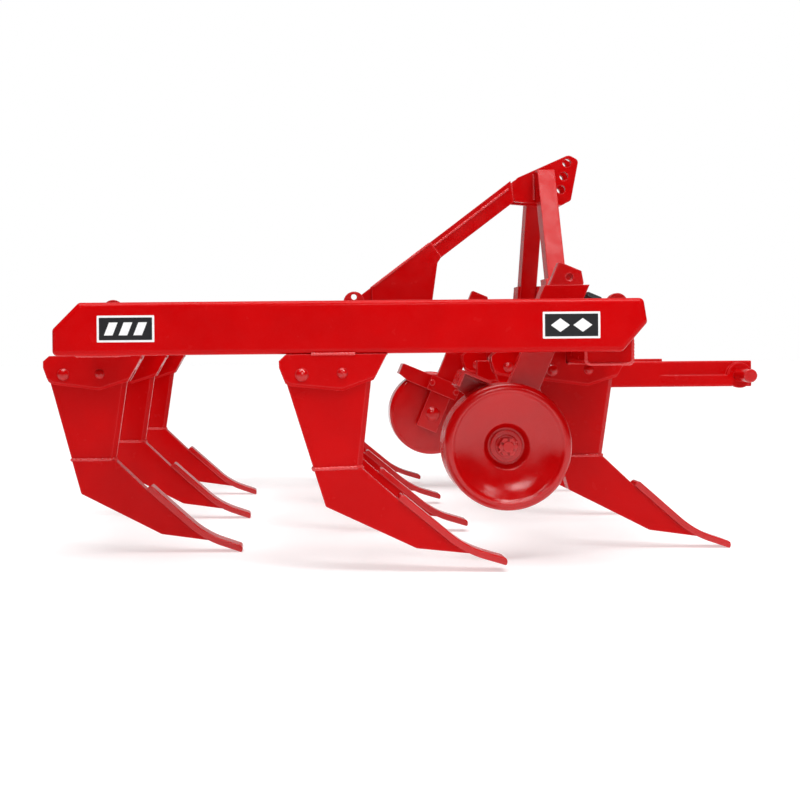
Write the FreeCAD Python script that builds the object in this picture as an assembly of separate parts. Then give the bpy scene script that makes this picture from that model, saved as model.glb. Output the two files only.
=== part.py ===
import FreeCAD, Part
import math
import os

# Tractor-mounted chisel plough: ten rigid tines in three rows under a welded frame.
# Millimetres. +X is forward (tractor side), +Y is the machine's left, +Z is up.
# The origin is on the ground under the middle of the machine.

Vector = FreeCAD.Vector

# ---- layout along the machine ----
row_gap_rear = 612.0        # rear tine row to middle tine row
row_gap_front = 648.0       # middle tine row to front tine row
bracket_back = 125.0        # rear tip of a tine bracket behind its row line
link_reach = 530.0          # front end of the link arms ahead of the front row line
# ---- layout across the machine ----
tine_pitch = 300.0          # sideways spacing of the tine tracks
rail_inside_outer_track = 70.0    # rail's inner face inside the outer tine tracks
hitch_spread = 825.0        # between the shoulders of the lower hitch pins
# ---- heights ----
pivot_z = 462.0             # tine pivot bolt above the ground
bracket_rise = 48.0         # top of a tine bracket above the pivot bolt
mast_height = 610.0         # middle top-link hole above the lower hitch pins

# ---- side rails ----
rail_width = 100.0
rail_height = 124.0
rail_wall = 8.0
rail_edge_radius = 12.0
rail_rear_overhang = 40.0
rail_front_overhang = 83.0
rail_rear_chamfer = 62.0
rail_front_chamfer_run = 58.0
rail_front_chamfer_rise = 67.0
rail_front_slant = 9.0
drain_hole_radius = 8.0
drain_hole_inset = 110.0

# ---- cross tubes and spine ----
cross_tube_width = 110.0
cross_tube_height = 100.0
cross_tube_wall = 8.0
cross_tube_radius = 12.0
rear_tube_offset = 50.0     # rear tube centre ahead of the rear row line
front_tube_width = 112.0
front_tube_height = 130.0
front_tube_wall = 10.0
front_tube_offset = 19.0    # front tube centre ahead of the front row line
spine_height = 80.0
spine_wall = 8.0
spine_radius = 10.0

# ---- tine brackets ----
bracket_centre = 73.0       # bracket centre ahead of the pivot bolt
cheek_thickness = 12.0
cheek_bevel = 7.0
shank_gap = 0.5             # between shank and cheek, each side
bracket_top_plate = 10.0
bracket_front_plate = 8.0
bracket_front = 204.0       # front end of a bracket ahead of the pivot bolt
shear_bolt_x = 94.0         # shear bolt ahead of the pivot bolt

# ---- tines ----
shank_thickness = 30.0
shank_bevel = 11.0
shank_top = 14.0            # shank top above the pivot bolt
foot_thickness = 38.0
foot_height = 239.0         # foot's upper edge above the ground
foot_edge_radius = 3.0
point_width = 50.0
point_thickness = 17.0
point_back_angle = 41.7
point_back_length = 197.0
point_bend_radius = 250.0
toe_x = 357.5
toe_z = 32.2
tip_x = 456.0
point_edge_radius = 2.5
tip_radius = 4.0
middle_row_rake = 2.0       # middle tines and brackets are tipped up by this much, degrees

# ---- fasteners ----
pivot_bolt_radius = 12.0
pivot_head_radius = 16.0
pivot_nut_flats = 36.0
shear_bolt_radius = 8.0
shear_head_radius = 12.7
shear_nut_flats = 24.0
bolt_clearance = 0.2
bolt_end_share = 1.4        # bolt past the far cheek, in bolt radii
nut_height_share = 1.26     # nut height, in bolt radii
point_bolt_radius = 6.0
point_bolt_head_radius = 10.0
point_bolt_depth = 36.0
point_bolt_places = (42.0, 108.0)   # down the point from its upper end

# ---- mast ----
mast_offset = 34.0          # strut line ahead of the front row line
head_gap = 54.0             # space for the top link's ball end
head_plate = 12.0
top_link_hole_radius = 12.9
top_link_hole_pitch = 42.0
top_link_lean = 12.7        # the line of holes leans forward, degrees
top_link_ahead = 67.0       # middle hole ahead of the strut line
strut_depth = 52.0
strut_width = 52.0
strut_wall = 6.0
strut_foot_y = 250.0
strut_top_above_hole = 12.0
foot_plate = 10.0
foot_rise = 112.0
foot_half_width = 46.0
foot_wing = 8.0             # foot plates beyond the strut, each side
brace_depth = 58.0
brace_wall = 6.0
brace_end_setback = 31.0    # lower edge of the brace's open end behind its upper edge
tongue_length = 45.0        # head plate inside the brace
brace_foot_offset = 15.6    # brace foot ahead of the middle row line
brace_top_setback = 99.0    # top of the brace behind the strut line
brace_top_drop = 14.0       # top of the brace below the middle top-link hole
gusset_start = 171.0        # along the brace from its foot
gusset_end = 396.0
gusset_thickness = 10.0
gusset_lap = 40.0           # overlap on the sides of the spine

# ---- lower links ----
link_thickness = 32.0
link_height = 71.0
link_tail = 105.0           # rear end of a link arm behind the front row line
pin_setback = 35.6          # pin axis behind the arm's front end
pin_drop = 40.0             # pin axis below the arm's top
pin_radius = 18.3
pin_length = 75.0
pin_seat_radius = 17.0
linch_hole_radius = 6.0
linch_hole_from_shoulder = 54.0
boss_radius = 35.0
boss_height = 12.0
rib_start = 218.0           # rear end of the boss's rib behind the pin
rib_full = 144.0            # where the rib reaches its full height
pin_thread_radius = 15.0
pin_nut_flats = 46.0
pin_nut_height = 24.0

# ---- gauge wheels ----
wheel_z = 281.0
wheel_radius = 155.0
wheel_width = 100.0
wheel_sheet = 6.0
rail_clearance = 10.0       # wheel face to the rail's inner face
dish_radius = 125.0
hub_radius = 30.0
axle_radius = 17.5
running_clearance = 0.05
wheel_recess_depth = 42.0
axle_head_radius = 26.0
axle_head_height = 16.0
axle_thread_radius = 13.5
castle_nut_flats = 41.0
castle_nut_height = 20.0
cotter_angle = 30.0         # through opposite slots of the castle nut, degrees above level

# ---- gauge wheel arms ----
arm_lean = 23.0             # forward lean from vertical, degrees
arm_width = 78.0
arm_thickness = 25.0
arm_tail = 62.0             # below the wheel axle
arm_above_frame = 229.22    # along the arm from the height of the frame's underside
arm_tube_clearance = 2.98   # behind the front tube's upper edge
arm_gap = 15.0              # arm to wheel
arm_dimple_radius = 9.0
arm_dimple_depth = 6.0
arm_dimple_drop = 26.0      # below the arm's upper end
slide_clearance = 0.5
sleeve_wall = 12.0
sleeve_above_frame = 31.22  # along the arm from the height of the frame's underside
sleeve_top_above_rail = 43.0
knob_above_frame = 172.22   # along the arm from the height of the frame's underside
knob_radius = 17.0
knob_length = 40.0
screw_radius = 8.0
standoff_length = 75.0
standoff_height = 50.0

# ---- scrapers ----
scraper_plate = 8.0
scraper_low = 78.0          # along the arm from the wheel axle
scraper_high = 132.0
scraper_rear_gap = 15.0     # scraper's rear end behind the wheel's tread
scraper_depth = 92.0        # sideways, over the tread
scraper_top_gap = 1.2       # scraper's top flange to the tread
clamp_block = 14.0
clamp_overhang = 19.0       # end of the clamp block beyond the arm's edge
clamp_bolt_offset = 9.0     # clamp bolt beyond the arm's edge
clamp_bolt_radius = 6.0
clamp_head_flats = 19.0

# ---- lugs ----
lug_radius = 25.0
lug_thickness = 14.0
lug_rise = 25.0             # top of a middle lug above its rail
rear_ear_rise = 10.0
front_ear_rise = 16.0
lug_eye_radius = 7.0
lug_eye_rise = 12.0         # eye above the rail's top
rear_ear_offset = 88.0      # ahead of the rear row line
middle_lug_offset = 55.0    # ahead of the middle row line
front_ear_offset = 39.0     # ahead of the front row line

# ---- values that follow from the sizes above ----
overall_length = bracket_back + row_gap_rear + row_gap_front + link_reach
rear_row_x = bracket_back - overall_length / 2
middle_row_x = rear_row_x + row_gap_rear
front_row_x = middle_row_x + row_gap_front
frame_bottom_z = pivot_z + bracket_rise
tube_top_z = frame_bottom_z + cross_tube_height
rail_top_z = frame_bottom_z + rail_height
rail_inner_y = 3 * tine_pitch - rail_inside_outer_track
rail_outer_y = rail_inner_y + rail_width
rail_back_x = rear_row_x - rail_rear_overhang
rail_front_x = front_row_x + rail_front_overhang
rear_tube_x = rear_row_x + rear_tube_offset
front_tube_x = front_row_x + front_tube_offset
front_tube_bottom_z = tube_top_z - front_tube_height
cheek_inner = shank_thickness / 2 + shank_gap
cheek_outer = cheek_inner + cheek_thickness
pin_x = front_row_x + link_reach - pin_setback
pin_z = front_tube_bottom_z - pin_drop
link_outer_y = hitch_spread / 2 - boss_height
link_inner_y = link_outer_y - link_thickness
mast_x = front_row_x + mast_offset
head_z = pin_z + mast_height
head_inner = head_gap / 2
head_outer = head_inner + head_plate
brace_half_width = head_outer + brace_wall
spine_width = 2 * brace_half_width
arm_slope = math.tan(math.radians(arm_lean))
arm_half_level = arm_width / 2 / math.cos(math.radians(arm_lean))
wheel_x = (front_tube_x - front_tube_width / 2 - arm_tube_clearance - arm_half_level
           - (tube_top_z - wheel_z) * arm_slope)
arm_at_frame = (frame_bottom_z - wheel_z) / math.cos(math.radians(arm_lean))
arm_length = arm_at_frame + arm_above_frame
sleeve_bottom = arm_at_frame + sleeve_above_frame
knob_place = arm_at_frame + knob_above_frame
wheel_outer_y = rail_inner_y - rail_clearance
wheel_inner_y = wheel_outer_y - wheel_width
wheel_mid_y = (wheel_outer_y + wheel_inner_y) / 2
arm_outer_y = wheel_inner_y - arm_gap
arm_inner_y = arm_outer_y - arm_thickness
sleeve_outer_y = arm_outer_y + slide_clearance + sleeve_wall
sleeve_inner_y = arm_inner_y - slide_clearance - sleeve_wall
scraper_reach = wheel_radius + scraper_rear_gap
scraper_top_end = math.sqrt((wheel_radius + scraper_top_gap) ** 2 - (scraper_high - scraper_plate) ** 2)
clamp_half_length = arm_width / 2 + clamp_overhang
clamp_bolt_place = arm_width / 2 + clamp_bolt_offset


# ---- drawing helpers ----

def in_xz(y):
    """Place a flat outline in the upright fore-and-aft plane at y."""
    return lambda a, b: Vector(a, y, b)


def in_yz(x):
    """Place a flat outline in the upright crosswise plane at x."""
    return lambda a, b: Vector(x, a, b)


def in_xy(z):
    """Place a flat outline in the level plane at z."""
    return lambda a, b: Vector(a, b, z)


def unit(a, b):
    length = math.hypot(a, b)
    return a / length, b / length


def corner_points(before, corner, after):
    """Tangent points and middle of the arc that rounds a corner (a, b, radius)."""
    a, b, radius = corner
    if radius == 0:
        return (a, b), None, (a, b)
    ia, ib = unit(before[0] - a, before[1] - b)
    oa, ob = unit(after[0] - a, after[1] - b)
    half = math.acos(max(-1.0, min(1.0, ia * oa + ib * ob))) / 2
    run = radius / math.tan(half)
    reach = radius / math.sin(half) - radius
    ma, mb = unit(ia + oa, ib + ob)
    start = (a + ia * run, b + ib * run)
    middle = (a + ma * reach, b + mb * reach)
    end = (a + oa * run, b + ob * run)
    return start, middle, end


def outline(corners, place):
    """Closed wire through corners (a, b) or (a, b, radius)."""
    full = [tuple(corner) + (0,) * (3 - len(corner)) for corner in corners]
    count = len(full)
    rounded = [corner_points(full[i - 1], full[i], full[(i + 1) % count]) for i in range(count)]
    edges = []
    for i in range(count):
        start, middle, end = rounded[i]
        if middle is not None:
            edges.append(Part.Arc(place(*start), place(*middle), place(*end)).toShape())
        following = rounded[(i + 1) % count][0]
        if math.dist(end, following) > 1e-6:
            edges.append(Part.LineSegment(place(*end), place(*following)).toShape())
    return Part.Wire(edges)


def plate_xz(corners, y0, y1):
    """Plate with its outline seen from the side, between y0 and y1."""
    return Part.Face(outline(corners, in_xz(y0))).extrude(Vector(0, y1 - y0, 0))


def plate_yz(corners, x0, x1):
    """Plate with its outline seen from the front, between x0 and x1."""
    return Part.Face(outline(corners, in_yz(x0))).extrude(Vector(x1 - x0, 0, 0))


def plate_xy(corners, z0, z1):
    """Plate with its outline seen from above, between z0 and z1."""
    return Part.Face(outline(corners, in_xy(z0))).extrude(Vector(0, 0, z1 - z0))


def block(x0, x1, y0, y1, z0, z1):
    return Part.makeBox(x1 - x0, y1 - y0, z1 - z0, Vector(x0, y0, z0))


def rectangle(a0, a1, b0, b1, radius=0):
    return [(a0, b0, radius), (a1, b0, radius), (a1, b1, radius), (a0, b1, radius)]


def tube_section(a0, a1, b0, b1, wall, radius, place):
    """Face of a rectangular hollow section."""
    outer = outline(rectangle(a0, a1, b0, b1, radius), place)
    inner_radius = max(radius - wall, 1.0)
    inner = outline(rectangle(a0 + wall, a1 - wall, b0 + wall, b1 - wall, inner_radius), place)
    return Part.Face(outer).cut(Part.Face(inner))


def rod(start, direction, radius, length):
    return Part.makeCylinder(radius, length, start, direction)


def rod_across(x, z, radius, y0, y1):
    """Round bar from y0 to y1."""
    return rod(Vector(x, min(y0, y1), z), Vector(0, 1, 0), radius, abs(y1 - y0))


def hex_across(x, z, flats, y0, y1):
    """Hexagon bar from y0 to y1, its flats on top and bottom."""
    radius = flats / 2 / math.cos(math.radians(30))
    corners = []
    for i in range(6):
        angle = math.radians(60 * i)
        corners.append((x + radius * math.cos(angle), z + radius * math.sin(angle)))
    return plate_xz(corners, min(y0, y1), max(y0, y1))


def domed_bolt(x, z, y, side, head_radius, head_height, radius, length):
    """Bolt with a domed head that stands out from y towards side (+1 or -1)."""
    ball_radius = (head_radius ** 2 + head_height ** 2) / (2 * head_height)
    half_angle = math.asin(head_radius / ball_radius) / 2
    middle = (ball_radius * math.sin(half_angle), head_height - ball_radius * (1 - math.cos(half_angle)))

    def place(across, out):
        return Vector(x + across, y + side * out, z)

    stations = [(head_radius, 0), (radius, 0), (radius, -length), (0, -length), (0, head_height)]
    edges = [Part.Arc(place(0, head_height), place(*middle), place(head_radius, 0)).toShape()]
    for start, end in zip(stations, stations[1:]):
        edges.append(Part.LineSegment(place(*start), place(*end)).toShape())
    return Part.Face(Part.Wire(edges)).revolve(Vector(x, y, z), Vector(0, 1, 0), 360)


def round_edges(shape, radius, chosen):
    """Fillet the edges for which chosen(edge) is true."""
    return shape.makeFillet(radius, [edge for edge in shape.Edges if chosen(edge)])


def edge_on(test):
    """Make an edge test that is true when both ends pass test(point)."""
    return lambda edge: all(test(vertex.Point) for vertex in edge.Vertexes)


def mirrored(shape):
    """The same piece on the other side of the machine."""
    return shape.mirror(Vector(0, 0, 0), Vector(0, 1, 0))


def joined(shapes):
    """One solid from touching shapes."""
    result = shapes[0].fuse(shapes[1:])
    return result.removeSplitter()


# ---- frame ----

def rail():
    """Right side rail: closed box section with a sloped rear top and front bottom corner."""
    top_front_x = rail_front_x - rail_front_slant
    corners = [
        (rail_back_x, frame_bottom_z),
        (rail_back_x, rail_top_z - rail_rear_chamfer),
        (rail_back_x + rail_rear_chamfer, rail_top_z),
        (top_front_x, rail_top_z),
        (rail_front_x, frame_bottom_z + rail_front_chamfer_rise),
        (rail_front_x - rail_front_chamfer_run, frame_bottom_z),
    ]
    outside = plate_xz(corners, -rail_outer_y, -rail_inner_y)
    outside = outside.makeFillet(rail_edge_radius, outside.Edges)
    inner_wire = outline(corners, in_xz(-rail_outer_y + rail_wall)).makeOffset2D(-rail_wall)
    hollow = Part.Face(inner_wire).extrude(Vector(0, rail_width - 2 * rail_wall, 0))
    shape = outside.cut(hollow)
    middle_y = -(rail_outer_y + rail_inner_y) / 2
    drains = [rail_back_x + drain_hole_inset, rail_front_x - drain_hole_inset]
    for x in drains:
        hole_start = Vector(x, middle_y, frame_bottom_z - 1)
        shape = shape.cut(rod(hole_start, Vector(0, 0, 1), drain_hole_radius, rail_wall + 2))
    return shape


def cross_tube(x, bottom_z, width, height, wall):
    """Square tube from rail to rail."""
    face = tube_section(x - width / 2, x + width / 2, bottom_z, bottom_z + height,
                        wall, cross_tube_radius, in_xz(-rail_inner_y))
    return face.extrude(Vector(0, 2 * rail_inner_y, 0))


def front_cross_tube():
    """Deeper front tube: its ends show below the rails, so they are capped."""
    tube = cross_tube(front_tube_x, front_tube_bottom_z, front_tube_width, front_tube_height,
                      front_tube_wall)
    half = front_tube_width / 2
    corners = rectangle(front_tube_x - half, front_tube_x + half, front_tube_bottom_z, tube_top_z,
                        cross_tube_radius)
    cap = plate_xz(corners, -rail_inner_y, -rail_inner_y + front_tube_wall)
    shape = joined([tube, cap, mirrored(cap)])
    for y in (-rail_inner_y + drain_hole_inset, rail_inner_y - drain_hole_inset):
        hole_start = Vector(front_tube_x, y, front_tube_bottom_z - 1)
        shape = shape.cut(rod(hole_start, Vector(0, 0, 1), drain_hole_radius, front_tube_wall + 2))
    return shape


def spine():
    """Centre tube between the middle and front cross tubes, under the mast brace."""
    start_x = middle_row_x + cross_tube_width / 2
    end_x = front_tube_x - front_tube_width / 2
    face = tube_section(-spine_width / 2, spine_width / 2, tube_top_z - spine_height, tube_top_z,
                        spine_wall, spine_radius, in_yz(start_x))
    return face.extrude(Vector(end_x - start_x, 0, 0))


def ear(x, rise):
    """Half-round ear on the inner face of the right rail."""
    corners = [
        (x - lug_radius, tube_top_z),
        (x + lug_radius, tube_top_z),
        (x + lug_radius, rail_top_z + rise, lug_radius - 0.1),
        (x - lug_radius, rail_top_z + rise, lug_radius - 0.1),
    ]
    return plate_xz(corners, -rail_inner_y, -rail_inner_y + lug_thickness)


def lifting_lugs():
    """Middle lugs with eyes for a lifting chain, and plain ears near the rail ends."""
    middle_x = middle_row_x + middle_lug_offset
    eye = rod_across(middle_x, rail_top_z + lug_eye_rise, lug_eye_radius,
                     -rail_inner_y - 1, -rail_inner_y + lug_thickness + 1)
    right = [ear(rear_row_x + rear_ear_offset, rear_ear_rise), ear(middle_x, lug_rise).cut(eye),
             ear(front_row_x + front_ear_offset, front_ear_rise)]
    return Part.makeCompound(right + [mirrored(shape) for shape in right])


# ---- tines (drawn with the pivot bolt at x = 0, y = 0) ----

def bracket():
    """Welded bracket: two cheeks, a top plate and a front plate."""
    top = pivot_z + bracket_rise
    back = bracket_centre - bracket_back
    front = bracket_front
    corners = [
        (back, pivot_z + 18),
        (back, pivot_z + 34),
        (back + 16, top),
        (front, top),
        (front - 6.4, pivot_z + 36.4),
        (166.4, pivot_z - 19),
        (92.8, pivot_z - 42),
        (-27.8, pivot_z - 26),
        (-39, pivot_z - 19),
    ]
    low_z = pivot_z - 5
    cheek = plate_xz(corners, -cheek_outer, -cheek_inner)
    on_rim = edge_on(lambda p: abs(p.y + cheek_outer) < 0.01 and p.z < low_z)
    cheek = cheek.makeChamfer(cheek_bevel, [edge for edge in cheek.Edges if on_rim(edge)])
    top_plate = block(back + 16, front - 2, -cheek_inner, cheek_inner, top - bracket_top_plate, top)
    front_corners = [
        (front - 22, pivot_z + 10),
        (front - 6, top - bracket_top_plate),
        (front - 6 - bracket_front_plate, top - bracket_top_plate),
        (front - 22 - bracket_front_plate, pivot_z + 10),
    ]
    front_plate = plate_xz(front_corners, -cheek_inner, cheek_inner)
    shape = joined([cheek, mirrored(cheek), top_plate, front_plate])
    for x, radius in ((0, pivot_bolt_radius), (shear_bolt_x, shear_bolt_radius)):
        hole = rod_across(x, pivot_z, radius + bolt_clearance, -cheek_outer - 1, cheek_outer + 1)
        shape = shape.cut(hole)
    return shape


def point_corner():
    """Unit directions of the point's underside from the toe: back up the foot, and to the tip."""
    angle = math.radians(point_back_angle)
    back = (-math.cos(angle), math.sin(angle))
    ahead = unit(tip_x - toe_x, -toe_z)
    return back, ahead


def tip_corner():
    """Sharp corner of the tip, placed so that the rounded tip just touches the ground."""
    _, ahead = point_corner()
    return tip_x, -tip_radius * (ahead[0] - ahead[1] - 1)


def along(start, direction, distance):
    return start[0] + direction[0] * distance, start[1] + direction[1] * distance


def chisel_point():
    """Forged point: a strip that lies on the foot's front edge and curves out to the tip."""
    back, ahead = point_corner()
    toe = (toe_x, toe_z)
    bisector = unit(back[0] + ahead[0], back[1] + ahead[1])
    half_turn = math.acos(-(back[0] * ahead[0] + back[1] * ahead[1])) / 2
    up_back = (back[1], -back[0])
    up_ahead = (-ahead[1], ahead[0])
    heel = along(toe, back, point_back_length)
    upper_heel = along(heel, up_back, point_thickness)
    upper_toe = along(toe, bisector, point_thickness / math.cos(half_turn))
    tip = tip_corner()
    upper_tip = along(tip, up_ahead, point_thickness)
    corners = [
        heel,
        toe + (point_bend_radius,),
        tip + (tip_radius,),
        upper_tip + (11,),
        upper_toe + (point_bend_radius - point_thickness,),
        upper_heel + (7,),
    ]
    strip = plate_xz(corners, -point_width / 2, point_width / 2)
    on_side = edge_on(lambda p: abs(p.y) > point_width / 2 - 0.01)
    return round_edges(strip, point_edge_radius, on_side)


def point_bolts():
    """Flush plough bolts through the point into the foot."""
    back, _ = point_corner()
    up = (back[1], -back[0])
    heel = along((toe_x, toe_z), back, point_back_length)
    bolts = []
    for distance in point_bolt_places:
        seat = along(along(heel, back, -distance), up, point_thickness)
        start = Vector(seat[0], 0, seat[1])
        inward = Vector(-up[0], 0, -up[1])
        head = Part.makeCone(point_bolt_head_radius, point_bolt_radius, 5, start, inward)
        bolts.append(head.fuse(rod(start, inward, point_bolt_radius, point_bolt_depth)))
    return bolts


def shank():
    """Shank and foot: the foot is thicker and carries the point."""
    half_shank = shank_thickness / 2
    half_foot = foot_thickness / 2
    crease_front = 131
    crease_back = 19
    top = pivot_z + shank_top
    upper_front = 166.7
    upper = plate_xz([(-45, top), (upper_front, top), (crease_front, foot_height),
                      (crease_back, foot_height)], -half_shank, half_shank)

    def front_edge(point):
        share = (point.z - foot_height) / (top - foot_height)
        return abs(point.x - crease_front - share * (upper_front - crease_front)) < 0.01

    front_rims = [edge for edge in upper.Edges if edge_on(front_edge)(edge)
                  and abs(edge.tangentAt(edge.FirstParameter).y) < 0.5]
    upper = upper.makeChamfer(shank_bevel, front_rims)
    back, ahead = point_corner()
    up_back = (back[1], -back[0])
    heel = along((toe_x, toe_z), back, point_back_length)
    bottom = (249.6, 47.3)
    bottom_slope = (toe_z - bottom[1]) / (toe_x - bottom[0])
    nose = (toe_x + 25, toe_z + 25 * bottom_slope)
    corners = [
        (crease_back, foot_height),
        (crease_front, foot_height),
        heel,
        along(heel, up_back, point_thickness / 2),
        (toe_x + 4, toe_z + point_thickness / 2 + 4),
        along(nose, ahead, 3),
        nose,
        bottom + (20,),
        (42.6, 153, 8),
    ]
    lower = plate_xz(corners, -half_foot, half_foot)
    crease_rim = edge_on(lambda p: p.z > foot_height - 0.01 and abs(p.y) > half_foot - 0.01)
    lower = round_edges(lower, foot_edge_radius, crease_rim)
    shape = joined([upper, lower.cut(chisel_point())])
    for bolt in point_bolts():
        shape = shape.cut(bolt)
    for x, radius in ((0, pivot_bolt_radius), (shear_bolt_x, shear_bolt_radius)):
        hole = rod_across(x, pivot_z, radius + bolt_clearance, -half_shank - 1, half_shank + 1)
        shape = shape.cut(hole)
    return shape


def bolted_point():
    """Chisel point with its bolt holes."""
    shape = chisel_point()
    for bolt in point_bolts():
        shape = shape.cut(bolt)
    return shape


def bracket_bolt(x, radius, head_radius, head_height, side):
    """Cup-head bolt through the bracket, its head on the given side."""
    length = 2 * cheek_outer + bolt_end_share * radius
    return domed_bolt(x, pivot_z, side * cheek_outer, side, head_radius, head_height, radius, length)


def bracket_nut(x, radius, flats, side):
    """Nut on the far end of a bracket bolt."""
    outer = -side * (cheek_outer + nut_height_share * radius)
    nut = hex_across(x, pivot_z, flats, -side * cheek_outer, outer)
    return nut.cut(rod_across(x, pivot_z, radius, -2 * cheek_outer, 2 * cheek_outer))


def tine_places():
    """Row, name, rake, pivot x and y of each tine."""
    rows = [
        ("rear", rear_row_x, 0.0, (("right", -2), ("centre", 0), ("left", 2))),
        ("middle", middle_row_x, middle_row_rake, (("outer_right", -3), ("inner_right", -1),
                                                   ("inner_left", 1), ("outer_left", 3))),
        ("front", front_row_x, 0.0, (("right", -2), ("centre", 0), ("left", 2))),
    ]
    places = []
    for row, x, rake, tracks in rows:
        for track, steps in tracks:
            offset = Vector(x - bracket_centre, steps * tine_pitch, 0)
            places.append((row, f"tine_{row}_{track}", rake, offset))
    return places


def set_in_row(shape, rake, offset):
    """Tip a tine's piece about its pivot bolt, then move it to its place."""
    copy = shape.copy()
    copy.rotate(Vector(0, 0, pivot_z), Vector(0, 1, 0), -rake)
    copy.translate(offset)
    return copy


def frame_space():
    """Space that the brackets keep out of: all above the rails' undersides, and the front tube."""
    above = block(-overall_length, overall_length, -2 * rail_outer_y, 2 * rail_outer_y,
                  frame_bottom_z, rail_top_z)
    half = front_tube_width / 2
    return above.fuse(block(front_tube_x - half, front_tube_x + half, -rail_inner_y, rail_inner_y,
                            front_tube_bottom_z, tube_top_z))


def tine_nodes():
    """Brackets by row, a shank and a point for each tine, and the grouped fasteners."""
    nodes = {}
    one_bracket = bracket()
    one_shank = shank()
    one_point = bolted_point()
    two_bolts = point_bolts()
    filled = frame_space()
    brackets = {"rear": [], "middle": [], "front": []}
    groups = {"tine_pivot_bolts": [], "tine_shear_bolts": [], "tine_bolt_nuts": [],
              "point_bolts": []}
    for row, name, rake, offset in tine_places():
        side = 1 if offset.y > 2.5 * tine_pitch else -1
        brackets[row].append(set_in_row(one_bracket, rake, offset).cut(filled))
        nodes[name + "_shank"] = set_in_row(one_shank, rake, offset)
        nodes[name + "_point"] = set_in_row(one_point, rake, offset)
        pivot_bolt = bracket_bolt(0, pivot_bolt_radius, pivot_head_radius, 9, side)
        shear_bolt = bracket_bolt(shear_bolt_x, shear_bolt_radius, shear_head_radius, 8, side)
        groups["tine_pivot_bolts"].append(set_in_row(pivot_bolt, rake, offset))
        groups["tine_shear_bolts"].append(set_in_row(shear_bolt, rake, offset))
        for x, radius, flats in ((0, pivot_bolt_radius, pivot_nut_flats),
                                 (shear_bolt_x, shear_bolt_radius, shear_nut_flats)):
            nut = bracket_nut(x, radius, flats, side)
            groups["tine_bolt_nuts"].append(set_in_row(nut, rake, offset))
        groups["point_bolts"] += [set_in_row(bolt, rake, offset) for bolt in two_bolts]
    for row, shapes in brackets.items():
        nodes[f"tine_brackets_{row}"] = Part.makeCompound(shapes)
    for name, shapes in groups.items():
        nodes[name] = Part.makeCompound(shapes)
    return nodes


# ---- mast ----

def top_link_holes():
    """Centres of the three top-link holes, from the lowest up."""
    lean = math.radians(top_link_lean)
    middle = (mast_x + top_link_ahead, head_z)
    step = (math.sin(lean), math.cos(lean))
    return [along(middle, step, i * top_link_hole_pitch) for i in (-1, 0, 1)]


def brace_line():
    """Foot, direction, downward normal and length of the brace's top edge."""
    foot = (middle_row_x + brace_foot_offset, tube_top_z)
    top = (mast_x - brace_top_setback, head_z - brace_top_drop)
    direction = unit(top[0] - foot[0], top[1] - foot[1])
    down = (direction[1], -direction[0])
    return foot, direction, down, math.dist(foot, top)


def brace_outline(inset):
    """Side outline of the brace, its long edges moved in by inset; the foot is cut level."""
    foot, direction, down, length = brace_line()
    upper = along(foot, down, inset)
    lower = along(foot, down, brace_depth - inset)
    upper_foot = along(upper, direction, (tube_top_z - upper[1]) / direction[1])
    lower_foot = along(lower, direction, (tube_top_z - lower[1]) / direction[1])
    setback = brace_end_setback / brace_depth
    return [upper_foot, along(upper, direction, length - inset * setback),
            along(lower, direction, length - (brace_depth - inset) * setback), lower_foot]


def mast_brace():
    """Hollow brace from the middle cross tube up to the head, which is let into its open end."""
    outside = plate_xz(brace_outline(0), -brace_half_width, brace_half_width)
    inside = plate_xz(brace_outline(brace_wall), -head_outer, head_outer)
    return outside.cut(inside)


def head_tongue():
    """Side outline of the part of a head plate that is let into the brace."""
    foot, direction, down, length = brace_line()
    upper = along(foot, down, brace_wall + 1)
    lower = along(foot, down, brace_depth - brace_wall - 1)
    low_end = length - brace_end_setback
    return [along(upper, direction, length - tongue_length), along(upper, direction, length + 25),
            along(lower, direction, low_end + 25), along(lower, direction, low_end - tongue_length)]


def head_plates():
    """The two plates that hold the top link."""
    corners = [
        (-80, -5.5, 12),
        (82.4, 65.5, 20),
        (112.6, 49, 14),
        (88, -76, 12),
        (58, -90, 14),
        (-87.7, -77.3, 6),
    ]
    placed = [(mast_x + a, head_z + b, radius) for a, b, radius in corners]
    plate = joined([plate_xz(placed, -head_outer, -head_inner),
                    plate_xz(head_tongue(), -head_outer, -head_inner)])
    for x, z in top_link_holes():
        plate = plate.cut(rod_across(x, z, top_link_hole_radius, -head_outer - 1, -head_inner + 1))
    return Part.makeCompound([plate, mirrored(plate)])


def gusset_plates():
    """Plates on both sides of the brace that lap the sides of the spine."""
    foot, direction, down, _ = brace_line()
    rear = along(foot, direction, gusset_start)
    top = along(foot, direction, gusset_end)
    front = along(top, down, brace_depth)
    corners = [
        rear,
        top,
        front + (12,),
        (front[0] - 12, front[1] - 16, 12),
        (front[0] - 43, tube_top_z - gusset_lap),
        (rear[0], tube_top_z - gusset_lap),
    ]
    plate = plate_xz(corners, -brace_half_width - gusset_thickness, -brace_half_width)
    return Part.makeCompound([plate, mirrored(plate)])


def strut_outline(half_width, top_z, bottom_z):
    """Front outline of the right strut."""
    top_y = -head_outer - strut_width / 2
    start = (-strut_foot_y, tube_top_z)
    end = (top_y, head_z + strut_top_above_hole)
    direction = unit(end[0] - start[0], end[1] - start[1])
    across = half_width / direction[1]

    def centre(z):
        return start[0] + (z - start[1]) * direction[0] / direction[1]

    return [(centre(bottom_z) - across, bottom_z), (centre(bottom_z) + across, bottom_z),
            (centre(top_z) + across, top_z), (centre(top_z) - across, top_z)]


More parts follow.
